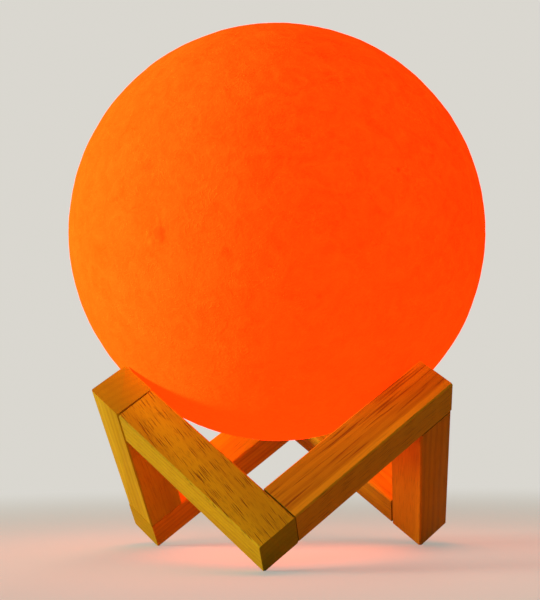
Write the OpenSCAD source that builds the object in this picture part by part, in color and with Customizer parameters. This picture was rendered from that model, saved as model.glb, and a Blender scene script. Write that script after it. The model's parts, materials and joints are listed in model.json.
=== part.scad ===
// Moon lamp: a printed moon globe with a twist-in light unit, resting on a ring of six wooden sticks.
// Millimetres, +Z up. The origin is on the table under the middle of the moon, the front foot is at -Y.

/* [Stand] */
// Distance between the joint centres at the two ends of a stick
stick_pitch = 70; // [62:0.5:84]
// Width and thickness of a stick
stick_width = 14.5; // [13:0.5:17]
// Chamfer along the long edges of a stick
stick_chamfer = 0.5; // [0.2:0.1:1.2]
// Clearance at a closed joint between two sticks
seam_gap = 0.3; // [0.1:0.05:0.5]
// Clearance at the outer edge of the one joint that stands open
open_seam_outer = 0.9; // [0.6:0.1:1.4]
// Clearance at the inner edge of the one joint that stands open
open_seam_inner = 0.5; // [0.3:0.1:0.9]
// Height of the tip taken off each foot corner so that it stands flat
foot_flat = 0.5; // [0.2:0.1:1.2]

/* [Joint pins] */
// Diameter of the hidden pin in each joint
pin_diameter = 3; // [2:0.5:5]
// Length of pin in the end grain of a stick
pin_in_end = 14; // [8:1:20]
// Wood left between the pin and the outer face of a stick
pin_skin = 4; // [2.5:0.5:7]
// Play round a pin in its hole
pin_play = 0.05; // [0.03:0.01:0.15]
// Space left at the blind end of a pin hole
pin_end_space = 0.4; // [0.2:0.1:1]

/* [Moon] */
// Outer diameter of the moon
moon_diameter = 150; // [136:1:166]
// Wall of the printed shell
shell_wall = 2.2; // [1.8:0.1:3]
// Clearance between the moon and the three corners that hold it
seat_gap = 0.3; // [0.2:0.05:0.5]
// Angle from straight down to the light unit, towards the back
base_tilt = 20; // [0:1:24]
// Radius of the opening in the shell
opening_radius = 21.5; // [20:0.1:24]

/* [Collar] */
// Wall of the collar that lines the opening
collar_wall = 2; // [1.5:0.1:2.2]
// Glue gap between the collar and the shell
glue_gap = 0.1; // [0.05:0.05:0.2]
// Reach of the collar's lip beyond the opening
lip_reach = 2; // [1.2:0.1:3]
// Thickness of the collar's lip, sunk flush into the shell
lip_thickness = 1; // [0.6:0.1:1.4]
// Thickness of each locking ledge
ledge_thickness = 2; // [1.2:0.1:3]
// Reach of each locking ledge into the collar's bore
ledge_reach = 1.7; // [1.4:0.1:2]
// Angle that each locking ledge covers
ledge_angle = 36; // [28:1:44]
// Height of the collar above the lugs
collar_top_margin = 1.5; // [1:0.1:3]
// Angle that each stop rib covers
stop_angle = 6; // [4:0.5:9]

/* [Light unit] */
// Wall of the housing
housing_wall = 1.6; // [1.2:0.1:1.8]
// Thickness of the deck that carries the light board
deck_thickness = 2; // [1.5:0.1:3]
// Running gap round the light unit in the collar
running_gap = 0.4; // [0.3:0.05:0.5]
// Play above and below the locking ledges
lock_play = 0.3; // [0.2:0.05:0.4]
// Thickness of each locking lug
lug_thickness = 2; // [1.2:0.1:3]
// Angle that each locking lug covers
lug_angle = 36; // [28:1:42]
// Thickness of the domed cap at its edge
cap_edge = 2; // [1.8:0.1:3]
// Depth of the pocket in the cap's inner face
cap_pocket = 1.6; // [1:0.1:2]
// Width of the cap's rim between its pocket and the housing
cap_rim = 2.6; // [1.8:0.1:3.2]
// Radius of each finger recess in the cap
finger_radius = 3.2; // [2.5:0.1:3.6]
// Depth of each finger recess in the cap
finger_depth = 0.8; // [0.4:0.1:1]
// Width of the cap left outside each finger recess
finger_margin = 4; // [3.6:0.1:4.4]

/* [Screws] */
// Diameter of the small screws
screw_diameter = 2; // [1.6:0.1:2.2]
// Diameter of a screw head
head_diameter = 3.8; // [3.4:0.1:4]
// Height of a screw head
head_height = 1.2; // [1:0.1:1.4]
// Play round a screw in its hole
screw_play = 0.05; // [0.03:0.01:0.1]
// Play round a screw head in its recess
head_play = 0.2; // [0.1:0.05:0.3]
// Length of a cap screw under its head
cap_screw_length = 8; // [6:0.5:10]
// Length of the screws that hold the two boards
board_screw_length = 5; // [4:0.5:5.5]
// Material under a cap screw's head
head_seat = 1.3; // [1:0.1:1.5]
// Space left past the end of a screw
screw_end_space = 0.5; // [0.3:0.1:1]
// Radius of the screw bosses in the housing
boss_radius = 2.6; // [2.2:0.1:2.8]
// Depth of the screw bosses in the housing's wall
boss_bite = 0.4; // [0.2:0.1:0.8]
// Wall past the blind end of each boss's hole
boss_roof = 1.3; // [0.8:0.1:1.6]

/* [Button and switch] */
// Radius of the push button
button_radius = 3.6; // [3:0.1:4]
// Clearance round the push button
button_gap = 0.2; // [0.1:0.05:0.3]
// Distance between the button's flange and the cap's screw pad
button_margin = 0.8; // [0.4:0.1:1]
// Depth of the button's face below the cap's surface
button_recess = 0.2; // [0:0.1:0.5]
// How far the button travels
button_travel = 0.8; // [0.4:0.1:1]
// Reach of the button's retaining flange
button_flange = 1; // [0.6:0.1:1.2]
// Thickness of the retaining flange
flange_thickness = 0.8; // [0.5:0.1:1]
// Clearance under the retaining flange
flange_gap = 0.1; // [0.05:0.05:0.2]
// Width of the square switch body
switch_width = 6; // [5:0.5:6]
// Height of the switch body
switch_height = 3.1; // [2.8:0.1:3.3]
// Radius of the switch plunger
plunger_radius = 1.5; // [1:0.1:1.8]
// Clearance round the plunger in the switch
plunger_gap = 0.1; // [0.05:0.05:0.2]
// Length of plunger inside the switch at rest
plunger_inside = 1.1; // [0.8:0.1:1.3]
// Depth of the plunger's bore in the switch
plunger_bore = 2.3; // [2.2:0.1:2.6]

/* [Charging port] */
// Width of the charging port's metal shell
port_width = 8.94; // [8:0.02:9.2]
// Height of the charging port's metal shell
port_height = 3.26; // [3:0.02:3.6]
// Length of the charging port's metal shell
port_length = 7.35; // [6.8:0.05:8]
// Wall of the charging port's metal shell
port_wall = 0.3; // [0.2:0.05:0.4]
// Clearance round the port in the cap
port_gap = 0.3; // [0.2:0.05:0.5]
// Distance between the port's opening and the light rod
port_margin = 2.4; // [1.8:0.1:2.8]
// Depth of the port's mouth below the cap's surface
port_recess = 1.1; // [0.8:0.1:1.6]
// Length of the contact tongue
tongue_length = 4.5; // [3.5:0.1:5.5]
// Width of the contact tongue
tongue_width = 6.7; // [5.5:0.1:7]
// Thickness of the contact tongue
tongue_thickness = 0.7; // [0.5:0.05:0.9]
// Thickness of the contact tongue's foot, which closes the port
tongue_foot = 1.2; // [0.8:0.1:1.6]
// Fit gap round the tongue's foot
tongue_gap = 0.03; // [0.02:0.01:0.08]

/* [Control board] */
// Clearance round the control board in the housing
board_gap = 0.5; // [0.3:0.1:0.8]
// Thickness of the control board
board_thickness = 1.2; // [0.8:0.1:1.6]
// Sideways distance from the axis to each board post
post_side = 9; // [8.6:0.1:9.4]
// Distance from the axis to the board posts towards the button
post_front = 4.5; // [4:0.1:5]
// Radius of the board posts
post_radius = 2.3; // [2:0.1:2.4]
// Clearance between the board and each housing boss
notch_gap = 0.4; // [0.3:0.1:0.6]
// Radius of the indicator's light rod
lens_radius = 1.1; // [0.8:0.1:1.2]
// Fit gap round the light rod
lens_gap = 0.04; // [0.02:0.01:0.1]
// Distance between the light rod and the button's flange
lens_margin = 1.1; // [0.6:0.1:1.4]
// Clearance between the light rod and its lamp
lens_air = 0.3; // [0.2:0.1:0.6]
// Size of the indicator lamp
indicator_size = [1.6, 0.8, 0.6];

/* [Battery] */
// Width of the flat cell
battery_width = 25; // [20:0.5:26]
// Thickness of the flat cell
battery_thickness = 6; // [4:0.5:6.5]
// Height of the flat cell
battery_height = 30; // [24:0.5:36]
// Rounding of the cell's upright edges
battery_round = 2; // [1:0.1:2.5]
// Place of the cell's front face
battery_front = 4; // [3:0.5:4.5]
// Thickness of the sticky foam pad behind the cell
pad_thickness = 0.8; // [0.5:0.1:1]
// Thickness of the plate that the cell is stuck to
plate_thickness = 1.4; // [1:0.1:1.8]
// Clearance between the top of the cell and the deck
battery_top_gap = 0.5; // [0.3:0.1:1]
// Height of the battery plug on the board
socket_height = 3; // [2.5:0.1:4]
// Length of the leads between the plug and the cell
lead_length = 1.5; // [1:0.1:3]
// Diameter of the leads
lead_diameter = 1; // [0.8:0.1:1.2]

/* [Light board] */
// Clearance round the light board in the dome's groove
led_board_gap = 0.5; // [0.3:0.1:1]
// Thickness of the light board
led_board_thickness = 1.6; // [1:0.1:2]
// Number of light chips
led_count = 6; // [3:1:6]
// Width of a light chip
led_width = 5; // [3:0.5:5]
// Height of a light chip
led_height = 1.6; // [1:0.1:2]
// Space between the remote receiver and the light chips
led_inner_space = 2.5; // [2.2:0.1:2.8]
// Distance from the light board's edge to each of its screws
led_screw_edge = 2.3; // [2:0.1:2.5]
// Angle of each light board screw from the side, away from the port
led_screw_angle = 32; // [31:1:33]
// Number of leads up to the light board
led_lead_count = 4; // [2:1:4]
// Spacing of the leads to the light board
led_lead_pitch = 1.3; // [1.25:0.05:1.5]
// Distance from the light board's edge to the row of leads
led_lead_edge = 2.6; // [2.2:0.1:3]
// Clearance round the row of leads in its slot
slot_gap = 0.3; // [0.2:0.1:0.5]
// Height of the leads above the light board
lead_end = 0.8; // [0.4:0.1:1.5]

/* [Remote receiver and dome] */
// Size of the remote receiver's body
receiver_size = [5, 3, 6];
// Length of the receiver's legs
receiver_leg = 2; // [1:0.5:4]
// Radius of the receiver's round window
receiver_window = 1.8; // [1:0.1:2.2]
// Width of the deck left outside the diffuser dome
dome_margin = 1; // [0.8:0.1:1.2]
// Wall of the diffuser dome
dome_wall = 1.2; // [0.8:0.1:1.3]
// Straight height of the dome above the deck
dome_skirt = 4; // [3:0.5:8]
// Depth of the groove that the dome stands in
groove_depth = 1; // [0.6:0.1:1.3]
// Fit gap each side of the dome in its groove
groove_gap = 0.1; // [0.05:0.05:0.15]

/* [Hidden] */
$fn = 96;

// Overshoot of a cut past the face it opens
cut = 1;

// The sticks follow six edges of a cube that stands on a corner: its edges lean 35.26 degrees.
half_pitch = stick_pitch / 2;
half_width = stick_width / 2;
corner_tip = atan(sqrt(2));
third_turn = 120;
stand_centre_z = (stick_pitch + 3 * stick_width) / (2 * sqrt(3)) - foot_flat;
stick_start = half_pitch - half_width;
stick_finish = half_pitch + half_width;

// The moon rests on one corner of each rising stick. Along the cube's edges that corner lies x, x and
// x + stick_pitch from the moon's centre, and the moon's radius and its clearance are the whole distance.
moon_radius = moon_diameter / 2;
seat_reach = moon_radius + seat_gap;
corner_to_centre = (sqrt(3 * seat_reach ^ 2 - 2 * stick_pitch ^ 2) - stick_pitch) / 3;
moon_z = stand_centre_z + sqrt(3) * (corner_to_centre + stick_finish);

// Craters: azimuth, elevation, diameter across the rim, dip below the rim
craters = [
    [-114, -9, 4.6, 0.3], [-74, -25, 2.2, 0.2], [-54, 6, 2, 0.2], [-143, 43, 5, 0.3], [-72, 26, 10, 0.15],
    [-20, 28, 9, 0.3], [16, -8, 12, 0.3], [46, 42, 7, 0.3], [73, 9, 15, 0.3], [112, 34, 10, 0.3],
    [142, -14, 8, 0.3], [168, 17, 13, 0.3], [-162, -22, 6, 0.3], [-92, 64, 6, 0.2], [24, 68, 11, 0.3],
    [56, -26, 6, 0.3], [124, 66, 7, 0.3], [-12, -24, 5, 0.3]
];

// In the light unit's own frame the moon's centre is the origin and the cap faces -Z.
collar_bore = opening_radius - glue_gap - collar_wall;
cap_radius = collar_bore - running_gap;
seat_z = cap_edge - sqrt(moon_radius ^ 2 - cap_radius ^ 2);
ledge_z = seat_z + lock_play;
ledge_bore = collar_bore - ledge_reach;
housing_radius = ledge_bore - lock_play;
lug_z = ledge_z + ledge_thickness + lock_play;
lug_radius = collar_bore - lock_play;
collar_top = lug_z + lug_thickness + collar_top_margin;
stop_start = lug_angle / 2 + 1;
pocket_z = seat_z - cap_pocket;
cavity_radius = housing_radius - housing_wall;
cap_pocket_radius = cavity_radius - cap_rim;
finger_offset = cap_radius - finger_margin - finger_radius;

screw_radius = screw_diameter / 2;
screw_hole = screw_radius + screw_play;
head_radius = head_diameter / 2;
head_recess = head_radius + head_play;
cap_screw_z = seat_z - head_seat;
cap_screw_angles = [90, 210, 330];
boss_offset = cavity_radius + boss_bite - boss_radius;
boss_hole_end = cap_screw_z + cap_screw_length + screw_end_space;
pad_radius = boss_radius + notch_gap;

// The button, the light rod and the port follow each other across the cap.
flange_radius = button_radius + button_flange;
button_offset = boss_offset - pad_radius - button_margin - flange_radius;
lens_offset = flange_radius + lens_margin + lens_radius - button_offset;
port_offset = lens_offset + lens_radius + port_margin + port_gap + port_height / 2;

port_face_z = port_recess - sqrt(moon_radius ^ 2 - port_offset ^ 2);
board_z = port_face_z + port_length;
board_top = board_z + board_thickness;
board_radius = cavity_radius - board_gap;
board_hole_end = board_top - board_screw_length - screw_end_space;

button_face_z = button_recess - sqrt(moon_radius ^ 2 - button_offset ^ 2);
flange_z = pocket_z + flange_gap;
switch_z = board_z - switch_height;
plunger_foot_z = switch_z - button_travel - 2 * flange_gap;
plunger_tip_z = switch_z + plunger_inside;
plunger_hole = plunger_radius + plunger_gap;

lens_tip_z = board_z - indicator_size[2] - lens_air;
battery_z = board_top + socket_height + lead_length;
battery_top = battery_z + battery_height;
deck_z = battery_top + battery_top_gap;
deck_top = deck_z + deck_thickness;
battery_back = battery_thickness - battery_front;
plate_front = battery_back + pad_thickness;
dome_radius = housing_radius - dome_margin;
dome_bore = dome_radius - dome_wall;
led_board_radius = dome_bore - groove_gap - led_board_gap;
led_board_top = deck_top + led_board_thickness;
led_ring = (receiver_size[0] + led_width) / 2 + led_inner_space;
led_hole_end = led_board_top - board_screw_length - screw_end_space;
led_screw_reach = led_board_radius - led_screw_edge;
led_screw_angles = [led_screw_angle, 180 - led_screw_angle];
led_lead_offset = led_board_radius - led_lead_edge;
slot_length = (led_lead_count - 1) * led_lead_pitch + lead_diameter + 2 * slot_gap;
slot_width = lead_diameter + 2 * slot_gap;
groove_z = deck_top - groove_depth;
dome_centre_z = deck_top + dome_skirt;

// Small parts on the control board: centre x, centre y, width, depth, height
chip_places = [
    [-9, -0.8, 3, 4, 1.4], [5.5, -1.6, 5, 4, 1.5], [5, 8.6, 3.4, 3.4, 2], [-5, 8.5, 3, 1.6, 1],
    [-5, 6, 2, 1.2, 0.8], [4.4, -6.5, 1.6, 2, 0.8], [-4.5, -5.5, 2, 1.2, 0.8]
];
socket_place = [-2.5, -1];
socket_size = [6, 4.5, socket_height];
lead_spread = 2;
receiver_leg_width = 0.5;
receiver_leg_pitch = 1.6;
slot_cut_width = 0.5;
slot_cut_depth = 0.5;

wood = "#c98a3c";
milky = "#fff3e2";
board_green = "#2f6b3c";

// ---- Helpers ----

module in_cube() {
    translate([0, 0, stand_centre_z])
        rotate([0, -corner_tip, 90])
            rotate([0, 0, -45])
                children();
}

module in_moon() {
    translate([0, 0, moon_z])
        rotate([base_tilt, 0, 0])
            children();
}

module three_times() {
    for (turn = [0 : 2])
        rotate([0, 0, turn * third_turn])
            children();
}

module disc(radius, low, high) {
    translate([0, 0, low])
        cylinder(r = radius, h = high - low);
}

// A ring sector centred on the angle middle
module sector(inner, outer, low, high, middle, sweep) {
    translate([0, 0, low])
        rotate([0, 0, middle - sweep / 2])
            rotate_extrude(angle = sweep)
                translate([inner, 0])
                    square([outer - inner, high - low]);
}

module block(x, y, low, size) {
    translate([x - size[0] / 2, y - size[1] / 2, low])
        cube(size);
}

module stadium(width, height) {
    side = (width - height) / 2;
    square([2 * side, height], center = true);
    for (x = [-side, side])
        translate([x, 0])
            circle(d = height);
}

module at_bosses() {
    for (angle = cap_screw_angles)
        rotate([0, 0, angle])
            translate([boss_offset, 0, 0])
                children();
}

module at_posts() {
    for (side = [-1, 1])
        translate([side * post_side, post_front, 0])
            children();
}

module at_led_screws() {
    for (angle = led_screw_angles)
        rotate([0, 0, angle])
            translate([led_screw_reach, 0, 0])
                children();
}

// A pan-head screw, head towards -Z, its head's seat at the height seat
module screw_down(seat, length) {
    difference() {
        disc(head_radius, seat - head_height, seat);
        for (turn = [0, 90])
            rotate([0, 0, turn])
                translate([0, 0, seat - head_height + slot_cut_depth / 2 - cut / 2])
                    cube([head_diameter * 0.7, slot_cut_width, slot_cut_depth + cut], center = true);
    }
    disc(screw_radius, seat - slot_cut_depth / 2, seat + length);
}

// The same screw, head towards +Z
module screw_up(seat, length) {
    translate([0, 0, seat])
        mirror([0, 0, 1])
            screw_down(0, length);
}

// ---- Stand ----

module stick_profile() {
    flat = half_width - stick_chamfer;
    polygon([
        [-flat, -half_width], [flat, -half_width], [half_width, -flat], [half_width, flat],
        [flat, half_width], [-flat, half_width], [-half_width, flat], [-half_width, -flat]
    ]);
}

module falling_pin(radius, end_space) {
    inside = stick_width - pin_skin + end_space;
    in_cube()
        translate([-half_pitch, stick_start + inside, half_pitch])
            rotate([90, 0, 0])
                cylinder(r = radius, h = inside + seam_gap + pin_in_end + end_space);
}

module rising_pin(radius, end_space) {
    inside = stick_width - pin_skin + end_space;
    in_cube()
        translate([-stick_start - inside, -half_pitch, half_pitch])
            rotate([0, 90, 0])
                cylinder(r = radius, h = inside + seam_gap + pin_in_end + end_space);
}

module pin_hole_falling() {
    falling_pin(pin_diameter / 2 + pin_play, pin_end_space);
}

module pin_hole_rising() {
    rising_pin(pin_diameter / 2 + pin_play, pin_end_space);
}

module below_floor() {
    size = 3 * stick_pitch;
    translate([-size / 2, -size / 2, -size])
        cube(size);
}

// From the upper left joint down to the front foot
module falling_stick() {
    difference() {
        in_cube()
            translate([-half_pitch, stick_start - seam_gap, half_pitch])
                rotate([90, 0, 0])
                    linear_extrude(stick_pitch - seam_gap)
                        stick_profile();
        pin_hole_falling();
        pin_hole_rising();
        below_floor();
    }
}

// From the front foot up to the upper right joint
module rising_stick() {
    difference() {
        in_cube()
            translate([seam_gap - stick_start, -half_pitch, half_pitch])
                rotate([0, 90, 0])
                    linear_extrude(stick_pitch - seam_gap)
                        stick_profile();
        pin_hole_rising();
        rotate([0, 0, third_turn])
            pin_hole_falling();
    }
}

// The wedge that opens the upper left joint
module open_seam_wedge() {
    left = -half_pitch - half_width;
    right = -half_pitch + half_width;
    in_cube()
        translate([0, 0, half_pitch - stick_width])
            linear_extrude(2 * stick_width)
                polygon([
                    [left - cut, stick_start], [right + cut, stick_start],
                    [right + cut, stick_start - open_seam_inner], [left - cut, stick_start - open_seam_outer]
                ]);
}

module stick_front_left() {
    color(wood)
        difference() {
            falling_stick();
            open_seam_wedge();
        }
}

module stick_right() {
    color(wood)
        rotate([0, 0, third_turn])
            falling_stick();
}

module stick_back_left() {
    color(wood)
        rotate([0, 0, 2 * third_turn])
            falling_stick();
}

module stick_front_right() {
    color(wood)
        rising_stick();
}

module stick_back_right() {
    color(wood)
        rotate([0, 0, third_turn])
            rising_stick();
}

module stick_left() {
    color(wood)
        rotate([0, 0, 2 * third_turn])
            rising_stick();
}

module joint_pins() {
    color("silver")
        three_times() {
            falling_pin(pin_diameter / 2, 0);
            rising_pin(pin_diameter / 2, 0);
        }
}

// ---- Moon ----

// A ball that cuts a dent of the given diameter, dipping the given depth below its rim
module crater_cutter(azimuth, elevation, diameter, dip) {
    rim = sqrt(moon_radius ^ 2 - (diameter / 2) ^ 2);
    ball = ((diameter / 2) ^ 2 + dip ^ 2) / (2 * dip);
    rotate([0, -elevation, azimuth])
        translate([rim - dip + ball, 0, 0])
            sphere(r = ball);
}

module moon_shell() {
    color("orangered")
        difference() {
            translate([0, 0, moon_z])
                sphere(r = moon_radius, $fn = 180);
            translate([0, 0, moon_z]) {
                sphere(r = moon_radius - shell_wall, $fn = 180);
                for (c = craters)
                    crater_cutter(c[0], c[1], c[2], c[3]);
            }
            in_moon() {
                disc(opening_radius, -moon_radius - cut, -moon_radius / 2);
                difference() {
                    disc(opening_radius + lip_reach, -moon_radius - cut, -moon_radius / 2);
                    sphere(r = moon_radius - lip_thickness, $fn = 180);
                }
            }
        }
}

module collar_ring() {
    sleeve_radius = opening_radius - glue_gap;
    lip_radius = opening_radius + lip_reach - glue_gap;
    color(milky)
        in_moon() {
            difference() {
                intersection() {
                    sphere(r = moon_radius, $fn = 180);
                    union() {
                        disc(sleeve_radius, -moon_radius - cut, collar_top);
                        difference() {
                            disc(lip_radius, -moon_radius - cut, seat_z);
                            sphere(r = moon_radius - lip_thickness + glue_gap, $fn = 180);
                        }
                    }
                }
                disc(collar_bore, -moon_radius - cut, collar_top + cut);
            }
            for (middle = cap_screw_angles) {
                sector(ledge_bore, collar_bore + glue_gap, ledge_z, ledge_z + ledge_thickness,
                    middle, ledge_angle);
                sector(ledge_bore, collar_bore + glue_gap, ledge_z, lug_z + lug_thickness,
                    middle - stop_start - stop_angle / 2, stop_angle);
            }
        }
}

// ---- Light unit ----

module base_housing() {
    color(milky)
        in_moon() {
            difference() {
                union() {
                    difference() {
                        disc(housing_radius, seat_z, deck_top);
                        disc(cavity_radius, seat_z - cut, deck_z);
                    }
                    at_bosses()
                        disc(boss_radius, seat_z, boss_hole_end + boss_roof);
                    for (angle = cap_screw_angles)
                        sector(housing_radius - housing_wall / 2, lug_radius, lug_z,
                            lug_z + lug_thickness, angle, lug_angle);
                    at_led_screws()
                        disc(boss_radius, led_hole_end - boss_roof, deck_z + deck_thickness / 2);
                    intersection() {
                        disc(cavity_radius + housing_wall / 2, battery_z, deck_z + deck_thickness / 2);
                        translate([-housing_radius, plate_front, battery_z])
                            cube([2 * housing_radius, plate_thickness, deck_top - battery_z]);
                    }
                }
                at_bosses()
                    disc(screw_hole, seat_z - cut, boss_hole_end);
                at_led_screws()
                    disc(screw_hole, led_hole_end, deck_top + cut);
                block(0, -led_lead_offset, deck_z - cut, [slot_length, slot_width, deck_thickness + 2 * cut]);
                difference() {
                    disc(dome_radius + groove_gap, groove_z, deck_top + cut);
                    disc(dome_bore - groove_gap, groove_z - cut, deck_top + 2 * cut);
                }
            }
        }
}

module cap_body() {
    intersection() {
        sphere(r = moon_radius, $fn = 180);
        disc(cap_radius, -moon_radius - cut, seat_z);
    }
}

module cap_cuts() {
    difference() {
        disc(cap_pocket_radius, pocket_z, seat_z + cut);
        at_bosses()
            disc(pad_radius, pocket_z - cut, seat_z + 2 * cut);
    }
    at_bosses() {
        disc(screw_hole, -moon_radius - cut, seat_z + cut);
        disc(head_recess, -moon_radius - cut, cap_screw_z);
    }
    translate([0, button_offset, 0])
        disc(button_radius + button_gap, -moon_radius - cut, seat_z);
    translate([0, -lens_offset, 0])
        disc(lens_radius + lens_gap, -moon_radius - cut, seat_z);
    translate([0, -port_offset, -moon_radius - cut])
        linear_extrude(cap_edge + cap_pocket + moon_radius)
            stadium(port_width + 2 * port_gap, port_height + 2 * port_gap);
    finger_z = finger_depth - sqrt(moon_radius ^ 2 - finger_offset ^ 2);
    for (side = [-1, 1])
        translate([side * finger_offset, 0, 0])
            disc(finger_radius, -moon_radius - cut, finger_z);
}

module base_cap() {
    color(milky)
        in_moon()
            difference() {
                union() {
                    difference() {
                        cap_body();
                        cap_cuts();
                    }
                    at_posts()
                        disc(post_radius, pocket_z - cap_edge / 4, board_z);
                }
                at_posts()
                    disc(screw_hole, board_hole_end, board_z + cut);
            }
}

module cap_screws() {
    color("silver")
        in_moon()
            at_bosses()
                screw_down(cap_screw_z, cap_screw_length);
}

module button_cap() {
    color("whitesmoke")
        in_moon()
            translate([0, button_offset, 0]) {
                disc(button_radius, button_face_z, flange_z + flange_thickness);
                disc(flange_radius, flange_z, flange_z + flange_thickness);
                disc(plunger_radius, flange_z, plunger_foot_z);
            }
}

module switch_plunger() {
    color("dimgray")
        in_moon()
            translate([0, button_offset, 0])
                disc(plunger_radius, plunger_foot_z, plunger_tip_z);
}

module push_switch() {
    color("black")
        in_moon()
            difference() {
                block(0, button_offset, switch_z, [switch_width, switch_width, switch_height]);
                translate([0, button_offset, 0])
                    disc(plunger_hole, switch_z - cut, switch_z + plunger_bore);
            }
}

module control_board() {
    color(board_green)
        in_moon()
            difference() {
                disc(board_radius, board_z, board_top);
                at_bosses()
                    disc(pad_radius, board_z - cut, board_top + cut);
                at_posts()
                    disc(screw_hole, board_z - cut, board_top + cut);
            }
}

module board_chips() {
    color("black")
        in_moon()
            for (chip = chip_places)
                block(chip[0], chip[1], board_top, [chip[2], chip[3], chip[4]]);
}

module charging_port() {
    color("silver")
        in_moon()
            translate([0, -port_offset, port_face_z])
                difference() {
                    linear_extrude(port_length)
                        stadium(port_width, port_height);
                    translate([0, 0, -cut])
                        linear_extrude(port_length + 2 * cut)
                            stadium(port_width - 2 * port_wall, port_height - 2 * port_wall);
                }
}

module port_tongue() {
    inner_width = port_width - 2 * (port_wall + tongue_gap);
    inner_height = port_height - 2 * (port_wall + tongue_gap);
    color("black")
        in_moon()
            translate([0, -port_offset, 0]) {
                translate([0, 0, board_z - tongue_foot])
                    linear_extrude(tongue_foot)
                        stadium(inner_width, inner_height);
                block(0, 0, board_z - tongue_foot - tongue_length,
                    [tongue_width, tongue_thickness, tongue_length + tongue_foot / 2]);
            }
}

module indicator_led() {
    color("lightyellow")
        in_moon()
            block(0, -lens_offset, board_z - indicator_size[2], indicator_size);
}

module indicator_lens() {
    color("lightcyan")
        in_moon()
            intersection() {
                sphere(r = moon_radius, $fn = 180);
                translate([0, -lens_offset, 0])
                    disc(lens_radius, -moon_radius - cut, lens_tip_z);
            }
}

module board_screws() {
    color("silver")
        in_moon()
            at_posts()
                screw_up(board_top, board_screw_length);
}

module battery_cell() {
    flat = battery_thickness - 2 * battery_round;
    side = battery_width / 2 - battery_round;
    color("lightsteelblue")
        in_moon()
            translate([0, battery_back - battery_thickness / 2, battery_z])
                linear_extrude(battery_height) {
                    square([2 * side, battery_thickness], center = true);
                    square([battery_width, flat], center = true);
                    for (x = [-side, side], y = [-flat / 2, flat / 2])
                        translate([x, y])
                            circle(r = battery_round);
                }
}

module battery_pad() {
    color("gray")
        in_moon()
            translate([battery_round - battery_width / 2, battery_back, battery_z + battery_round])
                cube([battery_width - 2 * battery_round, pad_thickness, battery_height - 2 * battery_round]);
}

module battery_socket() {
    color("ivory")
        in_moon()
            block(socket_place[0], socket_place[1], board_top, socket_size);
}

module battery_leads() {
    color("red")
        in_moon()
            for (side = [-1, 1])
                translate([socket_place[0] + side * lead_spread / 2, socket_place[1], 0])
                    disc(lead_diameter / 2, board_top + socket_height, battery_z);
}

module led_board() {
    color("white")
        in_moon()
            difference() {
                disc(led_board_radius, deck_top, led_board_top);
                block(0, -led_lead_offset, deck_top - cut,
                    [slot_length, slot_width, led_board_thickness + 2 * cut]);
                at_led_screws()
                    disc(screw_hole, deck_top - cut, led_board_top + cut);
            }
}

module led_chips() {
    color("khaki")
        in_moon()
            for (place = [0 : led_count - 1])
                rotate([0, 0, place * 360 / led_count])
                    block(led_ring, 0, led_board_top, [led_width, led_width, led_height]);
}

module led_board_screws() {
    color("silver")
        in_moon()
            at_led_screws()
                screw_up(led_board_top, board_screw_length);
}

module led_leads() {
    first = -(led_lead_count - 1) * led_lead_pitch / 2;
    color("red")
        in_moon()
            for (place = [0 : led_lead_count - 1])
                translate([first + place * led_lead_pitch, -led_lead_offset, 0])
                    disc(lead_diameter / 2, board_top, led_board_top + lead_end);
}

module ir_receiver() {
    body_z = led_board_top + receiver_leg;
    color("#30261f")
        in_moon() {
            block(0, 0, body_z, receiver_size);
            translate([0, -receiver_size[1] / 2, 0])
                disc(receiver_window, body_z, body_z + receiver_size[2]);
            for (place = [-1 : 1])
                block(place * receiver_leg_pitch, 0, led_board_top,
                    [receiver_leg_width, receiver_leg_width, receiver_leg + receiver_leg_width]);
        }
}

module diffuser_dome() {
    color("white")
        in_moon()
            difference() {
                union() {
                    disc(dome_radius, groove_z, dome_centre_z);
                    translate([0, 0, dome_centre_z])
                        sphere(r = dome_radius);
                }
                disc(dome_bore, groove_z - cut, dome_centre_z);
                translate([0, 0, dome_centre_z])
                    sphere(r = dome_bore);
                disc(dome_radius + cut, dome_centre_z - dome_radius - cut, groove_z);
            }
}

stick_front_left();
stick_front_right();
stick_right();
stick_back_right();
stick_back_left();
stick_left();
joint_pins();
moon_shell();
collar_ring();
base_housing();
base_cap();
cap_screws();
button_cap();
switch_plunger();
push_switch();
control_board();
board_chips();
charging_port();
port_tongue();
indicator_led();
indicator_lens();
board_screws();
battery_cell();
battery_pad();
battery_socket();
battery_leads();
led_board();
led_chips();
led_board_screws();
led_leads();
ir_receiver();
diffuser_dome();
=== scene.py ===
"""Looks of the moon lamp: a glowing printed globe on a ring of six beech sticks.

Metres, +Z up. A colour is its red, green, blue and alpha. Azimuths and elevations are in degrees.
"""

import json
import math

import bmesh
import bpy
from mathutils import Matrix, Vector, noise


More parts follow.
